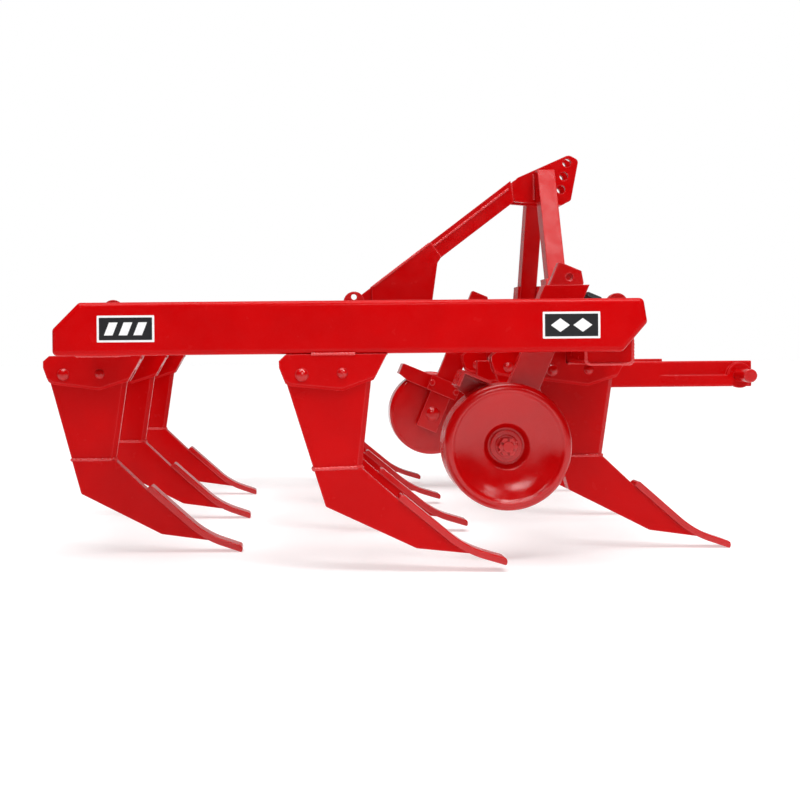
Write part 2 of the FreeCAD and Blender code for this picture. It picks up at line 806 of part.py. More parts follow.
def mast_strut():
    """Right front strut: hollow, closed at its top, welded to the side of the head."""
    top_z = head_z + strut_top_above_hole
    bottom_z = tube_top_z + foot_plate
    outside = plate_yz(strut_outline(strut_width / 2, top_z, bottom_z),
                       mast_x - strut_depth / 2, mast_x + strut_depth / 2)
    hollow = plate_yz(strut_outline(strut_width / 2 - strut_wall, top_z - strut_wall, bottom_z),
                      mast_x - strut_depth / 2 + strut_wall, mast_x + strut_depth / 2 - strut_wall)
    head_space = block(mast_x - 200, mast_x + 200, -head_outer, head_outer, head_z - 150, top_z + 1)
    return outside.cut(hollow).cut(head_space)


def mast_feet():
    """Feet that hold the struts on the front cross tube."""
    base_z = tube_top_z + foot_plate
    wing = strut_outline(strut_width / 2 + foot_wing, tube_top_z + foot_rise, base_z)
    half_depth = strut_depth / 2
    rear = plate_yz(wing, mast_x - half_depth - foot_plate, mast_x - half_depth)
    front = plate_yz(wing, mast_x + half_depth, mast_x + half_depth + foot_plate)
    base = block(mast_x - half_depth - foot_plate, mast_x + half_depth + foot_plate,
                 -strut_foot_y - foot_half_width, -strut_foot_y + foot_half_width,
                 tube_top_z, base_z)
    foot = joined([base, rear, front])
    front_limit = front_tube_x + front_tube_width / 2
    foot = foot.common(block(mast_x - 200, front_limit, -500, 0, tube_top_z, head_z))
    return Part.makeCompound([foot, mirrored(foot)])


# ---- lower links ----

def link_arm():
    """Right link arm: flat bar under the front tube with a boss and rib for the pin."""
    top = front_tube_bottom_z
    bar = block(front_row_x - link_tail, front_row_x + link_reach, -link_outer_y, -link_inner_y,
                top - link_height, top)
    long_edges = [edge for edge in bar.Edges if abs(edge.tangentAt(edge.FirstParameter).x) > 0.9]
    bar = bar.makeChamfer(3, long_edges)
    shoulder_y = -hitch_spread / 2
    boss = rod_across(pin_x, pin_z, boss_radius, shoulder_y, -link_outer_y)
    rib_corners = [
        (pin_x - rib_start, -link_outer_y),
        (pin_x - rib_full, shoulder_y),
        (pin_x, shoulder_y),
        (pin_x, -link_outer_y),
    ]
    rib = plate_xy(rib_corners, top - link_height + 3, pin_z + 1)
    arm = joined([bar, boss, rib])
    return arm.cut(rod_across(pin_x, pin_z, pin_seat_radius, shoulder_y - 1, -link_inner_y + 1))


def hitch_pin():
    """Right lower hitch pin with a hole for a linch pin."""
    shoulder_y = -hitch_spread / 2
    end_y = shoulder_y - pin_length
    body = rod_across(pin_x, pin_z, pin_radius, end_y, shoulder_y)
    body = round_edges(body, 3, lambda edge: abs(edge.BoundBox.YMin - end_y) < 0.01
                       and edge.BoundBox.YLength < 0.01)
    linch_y = shoulder_y - linch_hole_from_shoulder
    hole = rod(Vector(pin_x, linch_y, pin_z - 2 * pin_radius), Vector(0, 0, 1),
               linch_hole_radius, 4 * pin_radius)
    thread = rod_across(pin_x, pin_z, pin_thread_radius, -link_inner_y,
                        -link_inner_y + pin_nut_height + 6)
    seat = rod_across(pin_x, pin_z, pin_seat_radius, shoulder_y, -link_inner_y)
    return joined([body.cut(hole), seat, thread])


def hitch_pin_nuts():
    nut = hex_across(pin_x, pin_z, pin_nut_flats, -link_inner_y, -link_inner_y + pin_nut_height)
    nut = nut.cut(rod_across(pin_x, pin_z, pin_thread_radius, -link_inner_y - 1, 0))
    return Part.makeCompound([nut, mirrored(nut)])


# ---- gauge wheels (drawn about the axle: radius, distance out from the wheel's middle) ----

def turned(corners):
    """Solid of revolution on the right wheel axle from corners (radius, outward[, rounding])."""
    wire = outline(corners, lambda radius, out: Vector(radius, -out, 0))
    shape = Part.Face(wire).revolve(Vector(0, 0, 0), Vector(0, 1, 0), 360)
    shape.translate(Vector(wheel_x, -wheel_mid_y, wheel_z))
    return shape


def gauge_wheel():
    """Pressed steel wheel: dished outer face, flat inner face, closed rim."""
    half = wheel_width / 2
    floor = half - wheel_recess_depth
    outside = turned([
        (hub_radius, -half),
        (wheel_radius, -half, 14),
        (wheel_radius, half, 16),
        (wheel_radius - 19, half, 2),
        (wheel_radius - 26, half - 6, 8),
        (96, half - 22, dish_radius),
        (56, half - 26, 5),
        (45, floor, 3),
        (hub_radius, floor),
    ])
    inside = turned([
        (hub_radius - 1, -half + wheel_sheet),
        (wheel_radius - wheel_sheet, -half + wheel_sheet, 8),
        (wheel_radius - wheel_sheet, half - 14, 12),
        (wheel_radius - 24, half - 16, 8),
        (96, half - 30, dish_radius - 8),
        (61, half - 34, 5),
        (49, floor - wheel_sheet, 3),
        (hub_radius - 1, floor - wheel_sheet),
    ])
    return outside.cut(inside)


def wheel_hub():
    """Hub with a stepped cap; it turns on the axle."""
    half = wheel_width / 2
    floor = half - wheel_recess_depth
    bore = axle_radius + running_clearance
    return turned([
        (bore, -half - arm_gap + 2.5),
        (hub_radius, -half - arm_gap + 2.5, 1),
        (hub_radius, floor),
        (39.5, floor),
        (39.5, floor + 8, 3),
        (28, floor + 8),
        (28, floor + 14, 3),
        (bore, floor + 14),
    ])


def wheel_axle():
    """Axle bolt with a domed head on the arm's inner face, a castle nut and its cotter."""
    half = wheel_width / 2
    arm_face = -half - arm_gap
    nut_start = half - wheel_recess_depth + 14.5
    nut_end = nut_start + castle_nut_height
    shaft_length = nut_start - arm_face + arm_thickness
    shaft = domed_bolt(wheel_x, wheel_z, -arm_inner_y, 1, axle_head_radius, axle_head_height,
                       axle_radius, shaft_length)
    thread = turned([(0, nut_start), (axle_thread_radius, nut_start),
                     (axle_thread_radius, nut_end + 3, 2), (0, nut_end + 3)])
    collar = turned([(axle_radius, arm_face), (axle_head_radius, arm_face),
                     (axle_head_radius, arm_face + 2), (axle_radius, arm_face + 2)])
    nut_y = -wheel_mid_y - nut_start
    nut = hex_across(wheel_x, wheel_z, castle_nut_flats, nut_y - castle_nut_height, nut_y)
    nut = nut.cut(rod_across(wheel_x, wheel_z, axle_thread_radius,
                             nut_y - 2 * castle_nut_height, nut_y + 1))
    for i in range(3):
        slot = block(-40, 40, nut_y - castle_nut_height - 1, nut_y - castle_nut_height + 8, -2.6, 2.6)
        slot.rotate(Vector(0, 0, 0), Vector(0, 1, 0), cotter_angle + 60 * i)
        slot.translate(Vector(wheel_x, 0, wheel_z))
        nut = nut.cut(slot)
    cotter_y = nut_y - castle_nut_height + 4
    tilt = Vector(math.cos(math.radians(cotter_angle)), 0, math.sin(math.radians(cotter_angle)))
    cotter = rod(Vector(wheel_x, cotter_y, wheel_z) - tilt * 27, tilt, 2.4, 54)
    bolt = joined([shaft, thread, collar]).cut(cotter)
    return Part.makeCompound([bolt, nut, cotter])


# ---- gauge wheel arms (drawn along the arm: across it, up from the axle) ----

def on_arm(across, up):
    """Side-view position of a point given across and along the leaning arm."""
    lean = math.radians(arm_lean)
    x = wheel_x + across * math.cos(lean) + up * math.sin(lean)
    z = wheel_z - across * math.sin(lean) + up * math.cos(lean)
    return x, z


def arm_plate(corners, y0, y1):
    """Plate drawn along the arm; corners are (across, up[, radius])."""
    placed = [on_arm(corner[0], corner[1]) + tuple(corner[2:]) for corner in corners]
    return plate_xz(placed, y0, y1)


def wheel_arm():
    """Right depth arm: flat bar with the wheel axle near its lower end."""
    half = arm_width / 2
    corners = [
        (-half, -arm_tail, 4),
        (half, -arm_tail, 4),
        (half, arm_length - arm_dimple_drop),
        (half - 17, arm_length, 3),
        (-half, arm_length, 5),
    ]
    bar = arm_plate(corners, -arm_outer_y, -arm_inner_y)
    dimple_x, dimple_z = on_arm(0, arm_length - arm_dimple_drop)
    bar = bar.cut(rod_across(dimple_x, dimple_z, arm_dimple_radius,
                             -arm_outer_y - 1, -arm_outer_y + arm_dimple_depth))
    return bar.cut(rod_across(wheel_x, wheel_z, axle_radius, -arm_outer_y - 1, -arm_inner_y + 1))


def depth_sleeve():
    """Right sleeve that the arm slides in, with a standoff to the rail."""
    inner = arm_width / 2 + slide_clearance
    outer = inner + sleeve_wall
    top = arm_length + 40
    body = arm_plate(rectangle(-outer, outer, sleeve_bottom, top), -sleeve_outer_y, -sleeve_inner_y)
    bore = arm_plate(rectangle(-inner, inner, sleeve_bottom - 1, top + 1),
                     -arm_outer_y - slide_clearance, -arm_inner_y + slide_clearance)
    limit_z = rail_top_z + sleeve_top_above_rail
    keep = block(wheel_x - 400, wheel_x + 400, -rail_inner_y, 0, 0, limit_z)
    sleeve = body.cut(bore).common(keep)
    centre_x, centre_z = on_arm(0, sleeve_bottom + 50)
    standoff = block(centre_x - standoff_length / 2, centre_x + standoff_length / 2,
                     -rail_inner_y, -sleeve_outer_y,
                     centre_z - standoff_height / 2, centre_z + standoff_height / 2)
    tube_space = block(front_tube_x - front_tube_width / 2, front_tube_x + front_tube_width / 2,
                       -rail_inner_y, 0, front_tube_bottom_z, tube_top_z)
    shape = joined([sleeve, standoff]).cut(tube_space)
    x, z = on_arm(0, knob_place)
    lean = math.radians(arm_lean)
    across = Vector(math.cos(lean), 0, -math.sin(lean))
    middle_y = -(arm_outer_y + arm_inner_y) / 2
    hole = rod(Vector(x, middle_y, z), across, screw_radius + running_clearance, 2 * outer)
    return shape.cut(hole)


def depth_knob():
    """Clamp screw with a lobed grip that holds the arm in its sleeve."""
    x, z = on_arm(0, knob_place)
    lean = math.radians(arm_lean)
    across = Vector(math.cos(lean), 0, -math.sin(lean))
    centre = Vector(x, -(arm_outer_y + arm_inner_y) / 2, z)
    tip = arm_width / 2 + 0.3
    sleeve_face = arm_width / 2 + slide_clearance + sleeve_wall
    grip_start = sleeve_face + 6
    screw = rod(centre + across * tip, across, screw_radius, grip_start + 10 - tip)
    grip = rod(centre + across * grip_start, across, knob_radius, knob_length)
    grip = round_edges(grip, 4, lambda edge: edge.Length > 100)
    side = Vector(0, 1, 0)
    for i in range(8):
        turn = FreeCAD.Rotation(across, 45 * i)
        flute_centre = centre + turn.multVec(side) * (knob_radius + 3) + across * (grip_start - 1)
        grip = grip.cut(rod(flute_centre, across, 5.5, knob_length + 2))
    return joined([screw, grip])


def scraper():
    """Right scraper: plate clamped across the arm, with flanges over the back of the tread."""
    face_y = -arm_outer_y
    strap_y = face_y - scraper_plate
    flange_y = face_y - scraper_depth
    strap = arm_plate([(-scraper_reach, scraper_low + 12), (-scraper_reach + 40, scraper_low),
                       (clamp_half_length, scraper_low, 4), (clamp_half_length, scraper_high, 4),
                       (-scraper_reach, scraper_high)], strap_y, face_y)
    rear = arm_plate(rectangle(-scraper_reach, -scraper_reach + scraper_plate,
                               scraper_low + 12, scraper_high), flange_y, face_y)
    top = arm_plate(rectangle(-scraper_reach, -scraper_top_end,
                              scraper_high - scraper_plate, scraper_high), flange_y, face_y)
    shape = joined([strap, rear, top])
    sharp = arm_corner_edges(shape, -scraper_reach, scraper_high)
    shape = shape.makeFillet(6, sharp)
    block_corners = rectangle(-clamp_half_length, clamp_half_length,
                              scraper_low - 2, scraper_high + 2, 4)
    clamp = arm_plate(block_corners, -arm_inner_y, -arm_inner_y + clamp_block)
    bolts = []
    middle = (scraper_low + scraper_high) / 2
    for across in (-clamp_bolt_place, clamp_bolt_place):
        x, z = on_arm(across, middle)
        head = hex_across(x, z, clamp_head_flats, -arm_inner_y + clamp_block,
                          -arm_inner_y + clamp_block + 8)
        stem = rod_across(x, z, clamp_bolt_radius, strap_y - 1, -arm_inner_y + clamp_block)
        shape = shape.cut(stem)
        clamp = clamp.cut(stem)
        bolts.append(joined([head, stem]))
    return Part.makeCompound([shape, clamp] + bolts)


def arm_corner_edges(shape, across, up):
    """Edges that run sideways through one side-view point of the arm's drawing."""
    x, z = on_arm(across, up)

    def at_corner(point):
        return math.dist((point.x, point.z), (x, z)) < 0.01

    return [edge for edge in shape.Edges if edge_on(at_corner)(edge)]


def wheel_nodes():
    """Everything that comes once on each side of the machine around a gauge wheel."""
    right = {
        "gauge_wheel": gauge_wheel(),
        "wheel_hub": wheel_hub(),
        "wheel_axle": wheel_axle(),
        "wheel_arm": wheel_arm(),
        "wheel_scraper": scraper(),
        "depth_sleeve": depth_sleeve(),
        "depth_knob": depth_knob(),
    }
    nodes = {}
    for name, shape in right.items():
        nodes[name + "_right"] = shape
        nodes[name + "_left"] = mirrored(shape)
    return nodes


def all_nodes():
    nodes = {
        "rail_right": rail(),
        "rail_left": mirrored(rail()),
        "cross_tube_rear": cross_tube(rear_tube_x, frame_bottom_z, cross_tube_width,
                                      cross_tube_height, cross_tube_wall),
        "cross_tube_middle": cross_tube(middle_row_x, frame_bottom_z, cross_tube_width,
                                        cross_tube_height, cross_tube_wall),
        "cross_tube_front": front_cross_tube(),
        "centre_spine": spine(),
        "lifting_lugs": lifting_lugs(),
        "mast_head_plates": head_plates(),
        "mast_strut_right": mast_strut(),
        "mast_strut_left": mirrored(mast_strut()),
        "mast_feet": mast_feet(),
        "mast_brace": mast_brace(),
        "mast_gussets": gusset_plates(),
        "link_arm_right": link_arm(),
        "link_arm_left": mirrored(link_arm()),
        "hitch_pin_right": hitch_pin(),
        "hitch_pin_left": mirrored(hitch_pin()),
        "hitch_pin_nuts": hitch_pin_nuts(),
    }
    nodes.update(tine_nodes())
    nodes.update(wheel_nodes())
    return nodes


os.makedirs("parts", exist_ok=True)
for node_name, node_shape in all_nodes().items():
    node_shape.exportStep(f"parts/{node_name}.step")
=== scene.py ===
import math

import bmesh
import bpy
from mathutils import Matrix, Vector, noise


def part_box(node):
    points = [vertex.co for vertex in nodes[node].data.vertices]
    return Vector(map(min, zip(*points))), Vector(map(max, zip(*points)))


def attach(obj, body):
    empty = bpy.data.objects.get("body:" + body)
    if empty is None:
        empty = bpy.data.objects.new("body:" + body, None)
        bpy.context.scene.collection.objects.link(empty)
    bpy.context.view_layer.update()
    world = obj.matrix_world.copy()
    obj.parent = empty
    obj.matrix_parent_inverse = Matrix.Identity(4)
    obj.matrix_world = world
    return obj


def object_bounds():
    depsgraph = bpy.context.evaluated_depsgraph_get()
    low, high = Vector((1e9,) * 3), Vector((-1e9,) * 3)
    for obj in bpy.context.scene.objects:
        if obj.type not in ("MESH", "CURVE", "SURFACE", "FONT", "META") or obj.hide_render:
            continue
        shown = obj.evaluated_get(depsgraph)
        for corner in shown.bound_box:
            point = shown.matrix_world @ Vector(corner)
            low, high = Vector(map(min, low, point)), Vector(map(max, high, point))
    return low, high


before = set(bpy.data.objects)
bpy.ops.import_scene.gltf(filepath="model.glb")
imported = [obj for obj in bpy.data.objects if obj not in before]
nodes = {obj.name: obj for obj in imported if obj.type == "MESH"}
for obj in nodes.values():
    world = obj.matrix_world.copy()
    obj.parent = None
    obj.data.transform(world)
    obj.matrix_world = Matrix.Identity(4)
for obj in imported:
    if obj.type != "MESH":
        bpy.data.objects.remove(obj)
cad_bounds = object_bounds()
collection = bpy.context.scene.collection


# ---- materials ----

def new_material(name):
    """A node material and its Principled shader."""
    material = bpy.data.materials.new(name)
    material.use_nodes = True
    return material, material.node_tree.nodes["Principled BSDF"]


def add(material, kind, **inputs):
    """A node with some of its input values set."""
    node = material.node_tree.nodes.new(kind)
    for key, value in inputs.items():
        node.inputs[key].default_value = value
    return node


def link(material, output, target):
    material.node_tree.links.new(output, target)


def noise_node(material, scale, detail, roughness=0.5):
    """Noise in object space; scale is in waves per metre."""
    coordinates = add(material, "ShaderNodeTexCoord")
    node = add(material, "ShaderNodeTexNoise", Scale=scale, Detail=detail, Roughness=roughness)
    link(material, coordinates.outputs["Object"], node.inputs["Vector"])
    return node.outputs["Fac"]


def ramp(material, source, low, high, low_value=0.0, high_value=1.0):
    """Map source from low..high to low_value..high_value, clamped."""
    node = add(material, "ShaderNodeMapRange")
    node.inputs["From Min"].default_value = low
    node.inputs["From Max"].default_value = high
    node.inputs["To Min"].default_value = low_value
    node.inputs["To Max"].default_value = high_value
    link(material, source, node.inputs["Value"])
    return node.outputs["Result"]


def mix_colour(material, share, first, second):
    node = material.node_tree.nodes.new("ShaderNodeMix")
    node.data_type = "RGBA"
    for socket, value in (("A", first), ("B", second)):
        target = [s for s in node.inputs if s.name == socket and s.type == "RGBA"][0]
        if isinstance(value, tuple):
            target.default_value = value + (1.0,)
        else:
            link(material, value, target)
    link(material, share, node.inputs["Factor"])
    return [s for s in node.outputs if s.type == "RGBA"][0]


def edge_share(material, radius, width):
    """0 on flat faces, rising to 1 on sharp edges."""
    bevel = material.node_tree.nodes.new("ShaderNodeBevel")
    bevel.samples = 4
    bevel.inputs["Radius"].default_value = radius
    geometry = material.node_tree.nodes.new("ShaderNodeNewGeometry")
    dot = material.node_tree.nodes.new("ShaderNodeVectorMath")
    dot.operation = "DOT_PRODUCT"
    link(material, bevel.outputs["Normal"], dot.inputs[0])
    link(material, geometry.outputs["Normal"], dot.inputs[1])
    return ramp(material, dot.outputs["Value"], 1.0, 1.0 - width)


def gloss_paint(name, colour, deep, edge_highlight, grain, gloss, shine):
    """Thick sprayed gloss paint: faint colour drift, orange peel, and a painted highlight, a lighter pink
    laid into the colour along every edge.
    """
    material, shader = new_material(name)
    drift = ramp(material, noise_node(material, 9.0, 3.0), 0.35, 0.65)
    body = mix_colour(material, drift, colour, deep)
    # faint random flecks in the pink colour of the painted edge highlight
    speckle = ramp(material, noise_node(material, 420.0, 2.0), 0.5, 0.75, 0.0, 0.05)
    body = mix_colour(material, speckle, body, edge_highlight)
    # painted highlight: the lighter pink edge colour is mixed in on every sharp edge, standing in for
    # light caught on rounded edges
    painted_edge_highlight = ramp(material, edge_share(material, 0.006, 0.25), 0.0, 1.0, 0.0, 0.7)
    body = mix_colour(material, painted_edge_highlight, body, edge_highlight)
    link(material, body, shader.inputs["Base Color"])
    uneven = ramp(material, noise_node(material, 30.0, 3.0), 0.3, 0.7, gloss - 0.05, gloss + 0.08)
    link(material, uneven, shader.inputs["Roughness"])
    shader.inputs["Specular IOR Level"].default_value = shine
    peel = add(material, "ShaderNodeBump", Strength=grain, Distance=0.0003)
    link(material, noise_node(material, 260.0, 3.0, 0.6), peel.inputs["Height"])
    waves = add(material, "ShaderNodeBump", Strength=grain, Distance=0.0002)
    link(material, noise_node(material, 30.0, 1.0), waves.inputs["Height"])
    rounded = material.node_tree.nodes.new("ShaderNodeBevel")
    rounded.samples = 4
    rounded.inputs["Radius"].default_value = 0.004
    link(material, rounded.outputs["Normal"], waves.inputs["Normal"])
    link(material, waves.outputs["Normal"], peel.inputs["Normal"])
    link(material, peel.outputs["Normal"], shader.inputs["Normal"])
    return material


def moulded_plastic(name, colour, roughness):
    """Dark moulded plastic with a fine grain."""
    material, shader = new_material(name)
    drift = ramp(material, noise_node(material, 60.0, 3.0), 0.3, 0.7)
    lighter = tuple(c * 2.2 + 0.004 for c in colour)
    link(material, mix_colour(material, drift, colour, lighter), shader.inputs["Base Color"])
    uneven = ramp(material, noise_node(material, 90.0, 2.0), 0.3, 0.7, roughness - 0.08, roughness + 0.08)
    link(material, uneven, shader.inputs["Roughness"])
    grain = add(material, "ShaderNodeBump", Strength=0.25, Distance=0.0006)
    link(material, noise_node(material, 900.0, 2.0), grain.inputs["Height"])
    link(material, grain.outputs["Normal"], shader.inputs["Normal"])
    return material


def printed_film(name, colour, roughness):
    """Thin printed vinyl with a trace of unevenness."""
    material, shader = new_material(name)
    drift = ramp(material, noise_node(material, 120.0, 3.0), 0.3, 0.7)
    worn = tuple(c * 0.93 + 0.004 for c in colour)
    link(material, mix_colour(material, drift, colour, worn), shader.inputs["Base Color"])
    shader.inputs["Roughness"].default_value = roughness
    wrinkle = add(material, "ShaderNodeBump", Strength=0.08, Distance=0.0005)
    link(material, noise_node(material, 150.0, 2.0), wrinkle.inputs["Height"])
    link(material, wrinkle.outputs["Normal"], shader.inputs["Normal"])
    return material


# each paint's third colour is the pink of its painted edge highlight
red = gloss_paint("red_paint", (0.58, 0.0004, 0.0012), (0.53, 0.0003, 0.0010), (0.80, 0.065, 0.07),
                  0.5, 0.20, 0.1)
cast_red = gloss_paint("cast_red_paint", (0.57, 0.0004, 0.0012), (0.50, 0.0003, 0.0010),
                       (0.86, 0.09, 0.095), 0.9, 0.14, 0.5)
# weld paint: its base colours are lighter and pinker than the frame paint, a painted highlight on the
# beads
weld_highlight_red = gloss_paint("weld_highlight_red_paint", (0.72, 0.03, 0.032), (0.62, 0.012, 0.014),
                       (0.90, 0.18, 0.18), 1.0, 0.12, 0.5)
black = moulded_plastic("black_grip", (0.008, 0.008, 0.009), 0.38)
film_white = printed_film("film_white", (0.94, 0.94, 0.94), 0.35)
film_black = printed_film("film_black", (0.006, 0.006, 0.008), 0.30)


def dress(node_name, material):
    mesh = nodes[node_name].data
    mesh.materials.clear()
    mesh.materials.append(material)


for node_name in nodes:
    if node_name.startswith("depth_knob"):
        dress(node_name, black)
    elif any(word in node_name for word in ("point", "bolts", "nuts", "wheel", "pin", "lugs")):
        dress(node_name, cast_red)
    else:
        dress(node_name, red)


# ---- places on the frame, in metres ----

PIVOT_Z = 0.462
# x of each row's pivot bolts, and the row's tilt in degrees
TINE_ROWS = {"rear": (-0.9055, 0.0), "middle": (-0.2935, 2.0), "front": (0.3545, 0.0)}
TINE_TRACKS = {"rear": (-0.6, 0.0, 0.6), "middle": (-0.9, -0.3, 0.3, 0.9), "front": (-0.6, 0.0, 0.6)}
BRACE_FOOT = Vector((-0.2049, 0.0, 0.610))
BRACE_TOP = Vector((0.3625, 0.0, 1.036))
LINK_ARM_SIDES = (-0.4005, -0.3685)
# the depth sleeve's spacer block against the rail: x and z of its middle, and half its size
STANDOFF = (0.3344, 0.5848)
STANDOFF_HALF = (0.0375, 0.025)
RAIL_INNER_Y = -0.829


# ---- pieces ----

def piece(name, mesh_data, materials, body):
    """A new object that rides on a body."""
    mesh = bpy.data.meshes.new(name)
    mesh_data.to_mesh(mesh)
    mesh_data.free()
    for material in materials:
        mesh.materials.append(material)
    made = bpy.data.objects.new(name, mesh)
    collection.objects.link(made)
    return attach(made, body)


def stations(path, step):
    """Points along a path of straight runs, about step apart, with the run's direction."""
    found = []
    for start, end in zip(path, path[1:]):
        run = Vector(end) - Vector(start)
        count = max(2, round(run.length / step))
        direction = run.normalized()
        for i in range(count + 1):
            found.append((Vector(start) + run * (i / count), direction))
    return found


def add_bead(mesh, path, radius, seed=0.0):
    """A rippled weld bead along a path."""
    rings = []
    for place, direction in stations(path, radius * 0.45):
        side = direction.cross(Vector((0.31, 0.52, 0.79))).normalized()
        up = direction.cross(side)
        travelled = direction.dot(place)
        ripple = 0.10 * math.sin(travelled / radius * 3.4)
        uneven = 0.16 * noise.noise(place * 90 + Vector((seed, 0, 0)))
        size = radius * (0.92 + ripple + uneven)
        ring = []
        for i in range(10):
            angle = 2 * math.pi * i / 10
            ring.append(mesh.verts.new(place + (side * math.cos(angle) + up * math.sin(angle)) * size))
        rings.append(ring)
    for lower, upper in zip(rings, rings[1:]):
        for i in range(10):
            j = (i + 1) % 10
            face = mesh.faces.new((lower[i], lower[j], upper[j], upper[i]))
            face.smooth = True
    mesh.faces.new(list(reversed(rings[0])))
    mesh.faces.new(rings[-1])


def weld(name, paths, radius, body="frame"):
    """One piece made of several weld beads."""
    mesh = bmesh.new()
    for i, path in enumerate(paths):
        add_bead(mesh, path, radius, seed=i * 3.7)
    bmesh.ops.recalc_face_normals(mesh, faces=mesh.faces)
    # the beads wear the weld paint, whose lighter pink is a painted highlight
    return piece(name, mesh, [weld_highlight_red], body)


def both_sides(path):
    return [path, [(x, -y, z) for x, y, z in path]]


def tube_end_welds():
    """Beads where the cross tubes meet the rails, and the spine meets the tubes."""
    end_inset = 0.001
    tube_corner = 0.006
    spine_corner = 0.008
    spine_bottom = 0.010
    paths = []
    for row in TINE_ROWS:
        low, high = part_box("cross_tube_" + row)
        y = low.y + end_inset
        left, right = low.x + tube_corner, high.x - tube_corner
        bottom, top = low.z + tube_corner, high.z - tube_corner
        paths += both_sides([(low.x, y, top), (low.x, y, bottom), (left, y, low.z), (right, y, low.z),
                             (high.x, y, bottom), (high.x, y, top), (right, y, high.z), (left, y, high.z)])
    low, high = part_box("centre_spine")
    bottom, top = low.z + spine_bottom, high.z - spine_corner
    for x in (low.x + end_inset, high.x - end_inset):
        paths.append([(x, low.y, bottom), (x, low.y, top), (x, low.y + spine_corner, high.z),
                      (x, high.y - spine_corner, high.z), (x, high.y, top), (x, high.y, bottom)])
    return weld("tube_end_welds", paths, 0.0045)


def bracket_welds():
    """Beads along both sides of the tine brackets' tops, under the cross tubes."""
    bracket_side = 0.0275
    end_inset = 0.004
    paths = []
    for row, tracks in TINE_TRACKS.items():
        low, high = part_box("cross_tube_" + row)
        for track in tracks:
            for y in (track - bracket_side, track + bracket_side):
                paths.append([(low.x + end_inset, y, low.z), (high.x - end_inset, y, low.z)])
    return weld("bracket_welds", paths, 0.004)


def on_tine(row, x, z):
    """Place of a point given from the pivot bolt of a tine in that row."""
    pivot_x, rake = TINE_ROWS[row]
    turn = math.radians(rake)
    return (pivot_x + x * math.cos(turn) - z * math.sin(turn),
            PIVOT_Z + x * math.sin(turn) + z * math.cos(turn))


def crease_welds():
    """Bead around each tine where the thin shank is let into the thicker foot."""
    back, shoulder, nose = 0.019, 0.118, 0.131
    foot_side = 0.0155
    nose_side = 0.004
    crease_height = -0.2215
    corners = [(back, -foot_side), (shoulder, -foot_side), (nose, -nose_side), (nose, nose_side),
               (shoulder, foot_side), (back, foot_side), (back, -foot_side)]
    paths = []
    for row, tracks in TINE_TRACKS.items():
        for y in tracks:
            path = []
            for x, across in corners:
                place_x, place_z = on_tine(row, x, crease_height)
                path.append((place_x, y + across, place_z))
            paths.append(path)
    return weld("crease_welds", paths, 0.0052)


def on_brace(along, down, y):
    """Place along the brace from its foot, and down from its top edge."""
    run = (BRACE_TOP - BRACE_FOOT).normalized()
    fall = Vector((run.z, 0, -run.x))
    place = BRACE_FOOT + run * along + fall * down
    return (place.x, y, place.z)


def brace_welds():
    """Seams on both sides of the mast brace, its gussets and its open end."""
    length = (BRACE_TOP - BRACE_FOOT).length
    brace_y = -0.045
    gusset_y = -0.0545
    gusset_start, gusset_end = 0.175, 0.394
    gusset_edge = 0.396
    seam_start = 0.400
    seam_down = 0.016
    low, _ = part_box("mast_gussets")
    foot_start, foot_end = low.x + 0.004, low.x + 0.164
    seam_end = length - 0.020
    paths = both_sides([on_brace(seam_start, seam_down, brace_y), on_brace(seam_end, seam_down, brace_y)])
    paths += both_sides([on_brace(gusset_start, 0.002, gusset_y), on_brace(gusset_end, 0.002, gusset_y)])
    paths += both_sides([on_brace(gusset_edge, 0.003, -0.046), on_brace(gusset_edge, 0.056, -0.046)])
    paths += both_sides([on_brace(length - 0.001, 0.006, -0.040), on_brace(length - 0.03, 0.052, -0.040)])
    paths += both_sides([(foot_start, -0.055, low.z), (foot_end, -0.055, low.z)])
    return weld("brace_welds", paths, 0.0042)


def mast_welds():
    """Beads between struts and head, and around the strut feet on the front tube."""
    head_y = -0.0395
    inner_foot_y = -0.204
    low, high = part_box("mast_strut_right")
    seam_low, seam_high = high.z - 0.085, high.z - 0.006
    paths = []
    for x in (low.x, high.x):
        paths += both_sides([(x, head_y, seam_low), (x, head_y, seam_high)])
    foot_low, foot_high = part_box("mast_feet")
    tube_top = foot_low.z
    front_x = foot_high.x - 0.003
    paths += both_sides([(foot_low.x, foot_low.y, tube_top), (foot_low.x, inner_foot_y, tube_top),
                         (front_x, inner_foot_y, tube_top)])
    paths += both_sides([(foot_low.x, foot_low.y, tube_top), (front_x, foot_low.y, tube_top)])
    return weld("mast_welds", paths, 0.004)


def side_welds():
    """Beads between link arms and front tube, and between depth sleeves and rails."""
    end_inset = 0.010
    paths = []
    _, arm_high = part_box("link_arm_right")
    tube_low, tube_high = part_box("cross_tube_front")
    for y in LINK_ARM_SIDES:
        start = (tube_low.x + end_inset, y, arm_high.z)
        end = (tube_high.x - end_inset, y, arm_high.z)
        paths += both_sides([start, end])
    x, z = STANDOFF
    back, front = x - STANDOFF_HALF[0], x + STANDOFF_HALF[0]
    bottom, top = z - STANDOFF_HALF[1], z + STANDOFF_HALF[1]
    paths += both_sides([(back, RAIL_INNER_Y, top), (front, RAIL_INNER_Y, top),
                         (front, RAIL_INNER_Y, bottom), (back, RAIL_INNER_Y, bottom),
                         (back, RAIL_INNER_Y, top)])
    return weld("side_welds", paths, 0.004)


tube_end_welds()
bracket_welds()
crease_welds()
brace_welds()
mast_welds()
side_welds()


def plate_outline(width, height, corner):
    """Closed outline of a rounded rectangle about the origin."""
    points = []
    centres = [(1, 1, 0), (-1, 1, 90), (-1, -1, 180), (1, -1, 270)]
    for sx, sy, start in centres:
        for i in range(5):
            angle = math.radians(start + 22.5 * i)
            points.append((sx * (width / 2 - corner) + corner * math.cos(angle),
                           sy * (height / 2 - corner) + corner * math.sin(angle)))
    return points


